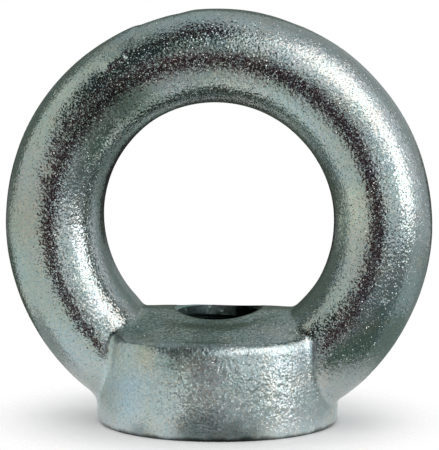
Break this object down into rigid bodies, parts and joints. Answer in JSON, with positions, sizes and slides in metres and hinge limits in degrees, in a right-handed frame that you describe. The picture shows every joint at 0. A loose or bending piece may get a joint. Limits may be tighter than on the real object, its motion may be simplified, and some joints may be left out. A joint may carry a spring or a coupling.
{
  "type": "lifting eye nut",
  "caption": "Forged steel lifting eye nut: a thick round ring on a short round boss, with an internally threaded bore through the boss and a flat seat face.",
  "frame": {"origin": "centre of the flat seat face, on the thread's axis", "axes": "+Z along the thread from the seat towards the ring, X across the ring in its plane, Y through the eye"},
  "size_m": [0.054, 0.0306, 0.0522],
  "materials": {
    "zinc_plated_steel": "shot-blasted forging, bright zinc plated"
  },
  "bodies": {
    "root": {"eye_nut": "zinc_plated_steel"}
  },
  "joints": []
}
